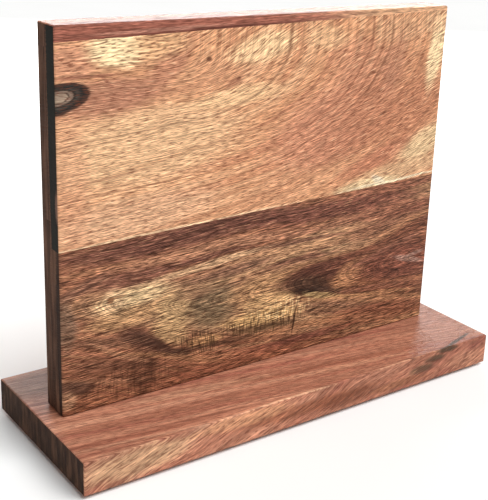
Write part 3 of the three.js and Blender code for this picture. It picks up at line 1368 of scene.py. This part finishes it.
@dataclass
class Studio:
    """Camera, soft lights and a pale floor."""

    azimuth: float = -37.42
    elevation: float = 17.95
    roll: float = 2.67
    aim: tuple[float, float] = (-15.96, -111.44)
    distance: float = 663.06
    foot: float = 2.0
    lens: float = 74.33
    shift: tuple[float, float] = (-0.08, -0.08)
    sun_toward: tuple[float, float, float] = (0.26, -0.45, 0.855)
    sun_strength: float = 2.9
    sun_softness: float = 50.0
    fill: float = 0.27
    glare_place: tuple[float, float, float] = (0.8, 1.4, 0.42)
    glare_aim: tuple[float, float, float] = (0.0, 0.0, 0.24)
    glare_size: tuple[float, float] = (1.5, 0.6)
    glare_power: float = 23.0
    floor_reach: float = 8.0

    def build(self) -> None:
        """Build the camera, the floor and the lights."""
        self._camera()
        self._floor()
        self._world()
        self._sun()
        self._glare()

    def _camera(self) -> None:
        """Place the camera by its angles, then slide it so that the rack sits in the frame."""
        azimuth = math.radians(self.azimuth)
        elevation = math.radians(self.elevation)
        roll = math.radians(self.roll)
        level_back = Vector((math.sin(azimuth), -math.cos(azimuth), 0.0))
        back = math.cos(elevation) * level_back + math.sin(elevation) * Vector((0.0, 0.0, 1.0))
        level_right = (-back).cross(Vector((0.0, 0.0, 1.0))).normalized()
        level_up = level_right.cross(-back)
        right = math.cos(roll) * level_right + math.sin(roll) * level_up
        up = -math.sin(roll) * level_right + math.cos(roll) * level_up
        place = (-self.aim[0] * right - self.aim[1] * up + self.distance * back) * MM
        place.z += self.foot * MM
        data = bpy.data.cameras.new("camera")
        data.lens = self.lens
        data.sensor_width = 36.0
        data.shift_x, data.shift_y = self.shift
        data.clip_start = 0.01
        camera = bpy.data.objects.new("camera", data)
        turn = Matrix((right, up, back)).transposed().to_4x4()
        camera.matrix_world = Matrix.Translation(place) @ turn
        bpy.context.scene.collection.objects.link(camera)
        bpy.context.scene.camera = camera

    def _floor(self) -> None:
        """Lay the pale floor."""
        low, _ = CAD_BOUNDS

        def shape(bm: bmesh.types.BMesh) -> None:
            """Make one large square, level with the feet."""
            bmesh.ops.create_grid(bm, x_segments=1, y_segments=1, size=self.floor_reach)
            bmesh.ops.translate(bm, vec=(0.0, 0.0, low[2]), verts=bm.verts)

        floor = bpy.data.objects.new("floor", mesh_from(shape, "floor"))
        bpy.context.scene.collection.objects.link(floor)
        # Matt white card: even, pale and without any gloss.
        card = PlainFinish("matt_white_card", "#fbfbfa", "#f9f9f8", 0.9, 30.0, relief=0.00001)
        floor.data.materials.append(card.build())
        floor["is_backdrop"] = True

    def _world(self) -> None:
        """Light the room softly, and show plain white behind the rack."""
        world = bpy.data.worlds.new("studio")
        graph = Graph(world, "OutputWorld")
        fill = graph.add("Background", {"Strength": self.fill, "Color": WHITE})
        seen = graph.add("Background", {"Strength": 1.0, "Color": WHITE})
        path = graph.add("LightPath")
        graph.show(graph.add("MixShader", {0: path.outputs["Is Camera Ray"], 1: fill, 2: seen}))
        bpy.context.scene.world = world

    def _sun(self) -> None:
        """Hang one broad, even light high in front, a little to the right."""
        data = bpy.data.lights.new("overhead", "SUN")
        data.energy = self.sun_strength
        data.angle = math.radians(self.sun_softness)
        light = bpy.data.objects.new("overhead", data)
        light.rotation_euler = (-Vector(self.sun_toward)).to_track_quat("-Z", "Y").to_euler()
        bpy.context.scene.collection.objects.link(light)

    def _glare(self) -> None:
        """Hang a panel low and wide behind the rack, so that the board's top edge catches it."""
        data = bpy.data.lights.new("back_panel", "AREA")
        data.shape = "RECTANGLE"
        data.size, data.size_y = self.glare_size
        data.energy = self.glare_power
        light = bpy.data.objects.new("back_panel", data)
        place = Vector(self.glare_place)
        light.rotation_euler = (Vector(self.glare_aim) - place).to_track_quat("-Z", "Y").to_euler()
        light.location = place
        light.visible_camera = False
        bpy.context.scene.collection.objects.link(light)


def front_face() -> Face:
    """Corner and facing of the front panel's face."""
    low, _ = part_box("front_lower_stave")
    return (low.x, low.y, low.z), (1.0, 1.0, 1.0)


def back_face() -> Face:
    """Corner and facing of the back panel's face, whose left end is at +X."""
    low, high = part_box("back_lower_stave")
    return (high.x, high.y, low.z), (-1.0, -1.0, 1.0)


def base_face() -> Face:
    """Corner and facing of the base board's top."""
    low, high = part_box("base_board")
    return (low.x, low.y, high.z), (1.0, 1.0, -1.0)


def front_upper_acacia() -> Acacia:
    """The light front stave: a sweep of growth lines from a knot at its left edge.

    Returns:
        The finish.
    """
    corner, facing = front_face()
    marks = (
        Stroke((50, 148), (90, 34), "#efc497", 0.75, tilt=5),
        Stroke((45, 110), (80, 16), "#e3b792", 0.6, tilt=4),
        Stroke((8, 130), (14, 60), "#d99f7b", 0.5),
        Stroke((185, 150), (80, 36), "#c4856a", 0.7, tilt=20),
        Stroke((245, 152), (50, 22), "#c08062", 0.6, tilt=30),
        Stroke((150, 112), (60, 14), "#cb936f", 0.5, tilt=12),
        Stroke((232, 150), (70, 66), "#b37759", 0.55, tilt=10),
        Stroke((186, 132), (44, 12), "#bb7d61", 0.5, tilt=16),
        Stroke((220, 122), (50, 9), "#b5745a", 0.6, tilt=18),
        Stroke((200, 186), (36, 22), "#c68a6c", 0.6),
        Stroke((90, 186), (60, 15), "#d09a76", 0.5, tilt=6),
        Stroke((112, 171), (46, 8), "#efc495", 0.8, tilt=4),
        Stroke((128, 197), (34, 11), "#f2cb9c", 0.8, tilt=6),
        Stroke((174, 200), (22, 12), "#e9bd90", 0.6),
        Stroke((30, 178), (46, 15), "#ae7860", 0.85, tilt=4),
        Stroke((66, 194), (30, 10), "#bd8267", 0.7, tilt=38),
        Stroke((8, 197), (22, 13), "#c98e71", 0.7),
        Stroke((34, 202), (24, 12), "#fadfae", 0.95),
        Stroke((60, 203), (28, 9), "#e6b687", 0.6),
        Stroke((232, 204), (34, 12), "#d0a07b", 0.7),
        Stroke((229, 182), (14, 28), "#bb8469", 0.5, tilt=-12),
        Stroke((264, 188), (9, 34), "#f7d9aa", 0.9, tilt=-6),
        Stroke((262, 208), (14, 12), "#e0b48c", 0.7),
        Stroke((262, 127), (34, 14), "#e4c497", 0.85, tilt=20),
        Stroke((240, 111), (60, 9), "#dcb48a", 0.7, tilt=6),
        Stroke((214, 105), (40, 5), "#e8cc9f", 0.8, tilt=2),
        Stroke((222, 106), (9, 4), "#eee0c4", 0.7, tilt=-30),
        Stroke((16, 189.5), (30, 1.6), "#8e5a48", 0.7, tilt=1),
        Stroke((28, 187), (9, 1.4), "#9a6450", 0.6, tilt=-40),
        Stroke((60, 139), (50, 1.6), "#b98a66", 0.6, tilt=8),
        Stroke((35, 134), (34, 1.2), "#8f5f48", 0.6, tilt=5),
        Stroke((90.5, 194), (3, 1.6), "#5a3526", 0.8),
        Stroke((111, 181), (2.6, 1.6), "#3c1f18", 0.95, tilt=20),
        Stroke((108, 179), (9, 4), "#a86f55", 0.6, tilt=20),
        Stroke((50, 98.6), (150, 1.5), "#f3cfa6", 0.8, tilt=1.4),
        Stroke((235, 104.2), (60, 1.3), "#f0dcb8", 0.9, tilt=1.4),
        Knot((1.5, 178.5), (18.5, 8.6), tilt=9),
    )
    lines = (
        RingLine(50, 0.15), RingLine(71, 0.5), RingLine(76, 0.3), RingLine(104, 0.3),
        RingLine(134, 0.6, 1.9), RingLine(143, 0.3), RingLine(150, 0.55), RingLine(158, 0.45),
        RingLine(171, 0.4), RingLine(184, 0.4),
    )
    end_marks_with_shade = (
        # Painted shade: a near-black patch over the whole left end of the stave.
        Stroke((0, 175), (20, 160), "#20211d", 0.95, depth=4.2, reach=6.4, softness=0.12),
        Stroke((0, 122), (20, 12), "#8a6858", 0.8, depth=1.0, reach=3.0),
    )
    return Acacia(
        "oiled_acacia_light_sweep", corner, facing, False, SweptFigure(),
        ("#c08464", "#cf966f", "#dba57d", "#e8b98f"),
        marks=marks, lines=lines, band_width=11.0, end_marks_with_shade=end_marks_with_shade, contrast=0.5, pore_depth=0.75,
        pore_tone="#7a432e", seed=3.1,
    )


def front_lower_acacia() -> Acacia:
    """The dark front stave: nested tongues of heartwood round a pale heart.

    Returns:
        The finish.
    """
    corner, facing = front_face()
    marks = (
        Stroke((80, 94), (130, 10), "#6d4539", 0.9, tilt=1.6),
        Stroke((190, 93), (110, 8), "#6f4438", 0.85, tilt=-0.5),
        Stroke((240, 100), (60, 4), "#96624c", 0.8, tilt=1),
        Stroke((90, 83.5), (90, 5), "#a8785c", 0.75, tilt=1),
        Stroke((175, 82.5), (60, 3), "#b07a5e", 0.7, tilt=1.5),
        Stroke((240, 84), (60, 8), "#8c5744", 0.7),
        Stroke((84, 78.5), (60, 2.5), "#684237", 0.8, tilt=2.6),
        Stroke((160, 76), (60, 2.4), "#644034", 0.8, tilt=-1),
        Stroke((44, 75), (36, 8), "#7a4f40", 0.8, tilt=2),
        Stroke((16, 76), (24, 5), "#946752", 0.7, tilt=20),
        Stroke((18, 75), (22, 1.3), "#5d3d30", 0.8, tilt=20),
        Stroke((16, 78), (20, 1.2), "#5d3d30", 0.7, tilt=22),
        Stroke((92, 73.5), (60, 3.6), "#d3a981", 0.85, tilt=4),
        Stroke((175, 71), (70, 4.5), "#b88a66", 0.75, tilt=0.5),
        Stroke((200, 65), (34, 5), "#b5916b", 0.7, tilt=2),
        Stroke((110, 66), (50, 5), "#7c5544", 0.7, tilt=3),
        Stroke((160, 63), (44, 2.6), "#744b3c", 0.7, tilt=1),
        Stroke((44, 63), (34, 9), "#dfbe90", 0.9, tilt=6),
        Stroke((32, 61), (10, 12), "#e0ba90", 0.75),
        Stroke((40, 52), (36, 10), "#bf9469", 0.7, tilt=4),
        Stroke((72, 49), (20, 18), "#b8966c", 0.8, tilt=-40),
        Stroke((68, 36), (20, 12), "#c39d70", 0.75, tilt=-24),
        Stroke((98, 46), (26, 22), "#7b664c", 0.85, tilt=-8),
        Stroke((84, 58), (20, 7), "#8f6a50", 0.6),
        Stroke((134, 47), (36, 17), "#b68a62", 0.8, tilt=-3),
        Stroke((138, 39), (30, 10), "#d0a675", 0.7, tilt=4),
        Stroke((180, 51), (52, 12), "#633c2f", 0.95, tilt=6),
        Stroke((170, 43), (26, 11), "#4c3427", 0.95, tilt=-10),
        Stroke((186, 37.5), (26, 3.4), "#49342a", 0.85, tilt=-14),
        Stroke((166, 40), (16, 3), "#33251c", 0.8, tilt=-6),
        Stroke((203, 45), (20, 12), "#b9855d", 0.85, tilt=24),
        Stroke((236, 56), (50, 4.5), "#a4705a", 0.8, tilt=12),
        Stroke((248, 45), (50, 17), "#744536", 0.9, tilt=-3),
        Stroke((256, 45), (20, 3), "#b39889", 0.65, tilt=-16),
        Stroke((262, 48), (12, 2), "#b39889", 0.6, tilt=8),
        Stroke((182, 34.5), (26, 3), "#c4a270", 0.7, tilt=-12),
        Stroke((225, 27), (60, 2.2), "#b8875f", 0.8, tilt=-7),
        Stroke((226, 31.5), (50, 3), "#a06c53", 0.6, tilt=-4),
        Stroke((135, 30), (40, 7), "#d3a972", 0.85, tilt=-2),
        Stroke((136, 23.5), (34, 3.2), "#5f4630", 0.85, tilt=-3),
        Stroke((178, 26.5), (14, 5), "#5f4734", 0.4, tilt=6),
        Stroke((92, 25), (18, 6), "#b98d60", 0.7),
        Stroke((50, 35), (26, 8), "#593b2f", 0.9, tilt=-32),
        Stroke((74, 21.5), (14, 3.6), "#33251e", 0.95, tilt=-12),
        Stroke((50, 19), (13, 26), "#5c3b2c", 0.75),
        Stroke((30, 25), (36, 7), "#6c4736", 0.7, tilt=-10),
        Stroke((118, 15), (60, 1.8), "#b0805f", 0.75, tilt=-7),
        Stroke((170, 9), (60, 4), "#74453a", 0.75),
        Stroke((110, 6), (80, 6), "#8b5540", 0.6),
        Stroke((230, 12), (70, 12), "#85503b", 0.7, tilt=-3),
        Stroke((160, 18), (60, 4), "#a87452", 0.6, tilt=-2),
        Stroke((240, 62), (70, 60), "#7c4938", 0.45),
        Stroke((60, 29), (30, 5), "#4d3328", 0.9, tilt=-36),
        Stroke((28, 39), (34, 5), "#6b4a39", 0.75, tilt=-8),
        Stroke((66, 21), (60, 2.6), "#a97a58", 0.6, tilt=-18),
        Stroke((36, 30), (34, 2.6), "#a97a5c", 0.6, tilt=-28),
        Stroke((24, 16), (50, 3), "#a5775b", 0.5, tilt=-14),
        Stroke((100, 21), (44, 2.4), "#5d4030", 0.8, tilt=-4),
        Stroke((3, 55), (10, 22), "#7b614e", 0.8),
        Stroke((8, 16), (18, 7), "#4b362c", 0.8, tilt=-16),
        Stroke((3, 9), (8, 8), "#b18a6b", 0.7, tilt=-20),
        Stroke((136, 26), (46, 10), "#4f3824", 0.85, tilt=-3, ripple=1.3),
        Stroke((148, 33), (34, 9), "#ecc894", 0.7, tilt=-2, ripple=1.5),
        Stroke((88, 25), (22, 11), "#453120", 0.85, tilt=-10, ripple=1.3),
        Stroke((42, 12), (44, 16), "#4a3023", 0.45, ripple=1.8),
        Stroke((159, 23), (1.4, 14), "#3a2419", 0.9, tilt=-6),
        Stroke((30, 64), (3.4, 3), "#7a5236", 0.9, tilt=30),
        Stroke((34, 65), (9, 1.3), "#7a5236", 0.7, tilt=6),
    )
    zones = (
        (-150.0, "#8a5a44"), (-60.0, "#a06a50"), (-20.0, "#80523f"), (0.0, "#8b634b"), (24.0, "#b8906c"),
        (60.0, "#c39c74"), (80.0, "#8f6a51"), (112.0, "#9a7558"), (130.0, "#b28660"), (150.0, "#6a402f"),
        (180.0, "#6a4131"), (196.0, "#a87450"), (208.0, "#9a6648"), (220.0, "#734636"), (272.0, "#7c4c3b"),
    )
    # Painted shade: a dark patch over the stave's left end.
    end_marks_with_shade = (Stroke((0, 50), (20, 70), "#2f211b", 0.8, depth=1.0, reach=5.0, softness=0.2),)
    return Acacia(
        "oiled_acacia_dark_tongues", corner, facing, False, TongueFigure(),
        ("#6b4030", "#8f5c45", "#a5704f", "#bd8c66"),
        marks=marks, zones=zones, band_width=9.0, end_marks_with_shade=end_marks_with_shade, contrast=0.9, pore_depth=0.85,
        ring_contrast=0.36, pore_tone="#472619", seed=11.7,
    )


def front_strip_acacia() -> Acacia:
    """The thin strip along the front's top: dark on the left, honey on the right.

    Returns:
        The finish.
    """
    corner, facing = front_face()
    marks = (
        Stroke((60, 212), (190, 14), "#96594a", 0.9),
        Stroke((90, 209.6), (110, 1.6), "#5f352d", 0.8, tilt=1.3),
        Stroke((60, 211), (60, 1.6), "#b98672", 0.5, tilt=1.3),
        Stroke((240, 214), (80, 8), "#dcab84", 0.9),
    )
    # Painted shade: a near-black patch over the strip's left end.
    end_marks_with_shade = (Stroke((0, 212), (20, 30), "#20211d", 0.95, depth=4.2, reach=6.4, softness=0.12),)
    return Acacia(
        "oiled_acacia_top_strip", corner, facing, False, StraightFigure(slope=-0.02),
        ("#9c6350", "#b87e66", "#cb9678"),
        marks=marks, band_width=4.0, warp=0.6, end_marks_with_shade=end_marks_with_shade, contrast=0.5, seed=21.3,
    )


def back_upper_acacia() -> Acacia:
    """The light back stave: the same sweep, with its own quieter figure.

    Returns:
        The finish.
    """
    corner, facing = back_face()
    marks = (
        Stroke((190, 165), (80, 30), "#e3b48a", 0.6, tilt=-6),
        Stroke((60, 150), (60, 26), "#c28463", 0.7, tilt=10),
        Stroke((120, 195), (90, 9), "#edc393", 0.6),
        Stroke((225, 125), (50, 12), "#c08262", 0.6, tilt=6),
        Stroke((205, 188), (40, 9), "#bb8163", 0.6, tilt=-6),
    )
    return Acacia(
        "oiled_acacia_light_back", corner, facing, False,
        SweptFigure(centre=(40.0, 200.0), flatness=0.42, slope=0.03),
        ("#bf8462", "#d0976f", "#dba47b", "#e8b88e"),
        marks=marks, lines=(RingLine(60), RingLine(118), RingLine(131), RingLine(170), RingLine(205)),
        band_width=13.0, warp=5.0, contrast=0.45, pore_depth=0.7, pore_tone="#7d4630", seed=41.9,
    )


def back_lower_acacia() -> Acacia:
    """The dark back stave: wider, plainer tongues.

    Returns:
        The finish.
    """
    corner, facing = back_face()
    marks = (
        Stroke((136, 104), (230, 10), "#7a4c3f", 0.8, tilt=-1),
        Stroke((70, 52), (60, 12), "#c09a72", 0.7, tilt=3),
        Stroke((210, 48), (60, 11), "#65402f", 0.8),
        Stroke((136, 9), (200, 9), "#814d39", 0.7),
        Stroke((110, 78), (120, 4), "#b3805f", 0.7, tilt=-2),
        Stroke((150, 30), (110, 5), "#aa7855", 0.6, tilt=2),
    )
    zones = (
        (-150.0, "#8a5a44"), (-40.0, "#9c684d"), (10.0, "#7f523f"), (70.0, "#b48b66"), (120.0, "#8f684e"),
        (160.0, "#a5744f"), (200.0, "#6f4535"), (272.0, "#7c4c3b"),
    )
    return Acacia(
        "oiled_acacia_dark_back", corner, facing, False,
        TongueFigure(middle=((0.0, 50.0), (0.3, 56.0), (0.7, 50.0), (1.0, 44.0))),
        ("#6b4030", "#8f5c45", "#a5704f", "#bd8c66"),
        marks=marks, zones=zones, band_width=12.0, warp=5.0, contrast=0.75, pore_depth=0.75,
        ring_contrast=0.3, pore_tone="#472619", seed=57.2,
    )


def back_strip_acacia() -> Acacia:
    """The strip along the back's top.

    Returns:
        The finish.
    """
    corner, facing = back_face()
    return Acacia(
        "oiled_acacia_back_strip", corner, facing, False, StraightFigure(slope=0.015),
        ("#9c6350", "#b87e66", "#cb9678"),
        marks=(Stroke((60, 210), (120, 14), "#c59070", 0.7),), band_width=4.0, warp=0.6, seed=66.0,
    )


def base_acacia() -> Acacia:
    """The base board: reddish, nearly straight figure with a dark streak over its right front edge, and a
    painted highlight along its front top edge.

    Returns:
        The finish.
    """
    corner, facing = base_face()
    marks = (
        Stroke((30, 92), (70, 26), "#80604f", 0.8, reach=20),
        Stroke((60, 26), (110, 6), "#96604b", 0.6, tilt=-6, reach=8),
        Stroke((40, 11), (90, 4), "#8f5845", 0.7, tilt=-5, reach=6),
        Stroke((95, 37), (70, 6), "#c29375", 0.5, tilt=-8, reach=10),
        Stroke((180, 22), (110, 3), "#8d5843", 0.6, tilt=-9, reach=8),
        Stroke((190, 14), (80, 3), "#c08d70", 0.5, tilt=-8, reach=8),
        Stroke((285, 48), (44, 60), "#9c6a55", 0.6, reach=20),
        # Painted highlight: a thin light line along the base's front top edge, where the eased edge catches
        # the light.
        Stroke((150, 0), (175, 1.1), "#dcab88", 0.7, reach=1.1),
        Stroke((225, 60), (60, 18), "#a06450", 0.6, tilt=-8, reach=20),
        Stroke((277, 5), (26, 2.2), "#4b3a2d", 0.95, tilt=17, reach=4),
        Stroke((263, 0), (14, 4), "#4f3d2f", 0.95, reach=3, depth=1.5),
        Stroke((252, 0), (15, 4), "#574333", 0.9, reach=3.6, depth=5.5),
        Stroke((241, 0), (16, 4), "#5c4534", 0.85, reach=4, depth=10),
        Stroke((30, 0), (50, 9), "#c9a07c", 0.8, reach=12, depth=9),
        Stroke((150, 0), (80, 9), "#90583f", 0.8, reach=6, depth=10),
        Stroke((218, 0), (40, 9), "#8a5b41", 0.7, reach=4, depth=15),
        Stroke((178, 0), (34, 9), "#7d4a35", 0.7, reach=7, depth=13),
        Stroke((280, 0), (24, 9), "#b98468", 0.6, reach=9, depth=13),
        Stroke((100, 0), (50, 9), "#c08d68", 0.6, reach=6, depth=5),
    )
    return Acacia(
        "oiled_acacia_base", corner, facing, True, StraightFigure(slope=0.14, depth_slope=0.4),
        ("#95594a", "#a86f58", "#b57c63", "#c69377"),
        marks=marks, band_width=6.0, warp=2.5, contrast=0.36, pore_depth=0.55, pore_tone="#6f3b2b",
        # The base's end tones are partly darker end grain and partly painted shade.
        end_tones_with_shade=("#33221a", "#463024", "#5e4232"), seed=33.3,
    )


def main() -> None:
    """Build the studio and the rack, and report each piece."""
    logging.basicConfig(level=logging.INFO, format="%(name)s %(message)s")
    Studio().build()
    fastenings = Fastenings()
    magnets = Magnets()
    # Zinc plate over drawn steel: bluish, bright, faintly brushed by the threading.
    zinc = PlainFinish("zinc_plated_steel", "#b9bec4", "#a8adb2", 0.32, 0.4, metallic=1.0)
    # Nickel over sintered magnet: warm white, close to a mirror.
    nickel = PlainFinish("nickel_plated_magnet", "#cbc8c0", "#bdb9b0", 0.22, 0.6, metallic=1.0)
    # Beech, turned and left bare: pale pinkish tan, matt.
    beech = PlainFinish("turned_beech", "#d5ae80", "#c49a6c", 0.62, 0.8, stretch=(1.0, 1.0, 0.1))
    # Moulded rubber: near black, dull, with a fine tooth.
    rubber = PlainFinish("moulded_rubber", "#2a2a2c", "#353536", 0.8, 0.5)
    woods = {
        "front_upper_stave": front_upper_acacia(),
        "front_lower_stave": front_lower_acacia(),
        "front_top_strip": front_strip_acacia(),
        "back_upper_stave": back_upper_acacia(),
        "back_lower_stave": back_lower_acacia(),
        "back_top_strip": back_strip_acacia(),
    }
    UprightBoard(magnets).build({node: wood.build() for node, wood in woods.items()}, fastenings)
    BaseBoard().build(base_acacia().build(), fastenings.hole_cutters())
    fastenings.build(zinc.build(), beech.build())
    magnets.build(nickel.build())
    Feet().build(rubber.build())
    scene = bpy.context.scene
    scene.view_settings.view_transform = "Standard"


if __name__ == "__main__":
    main()
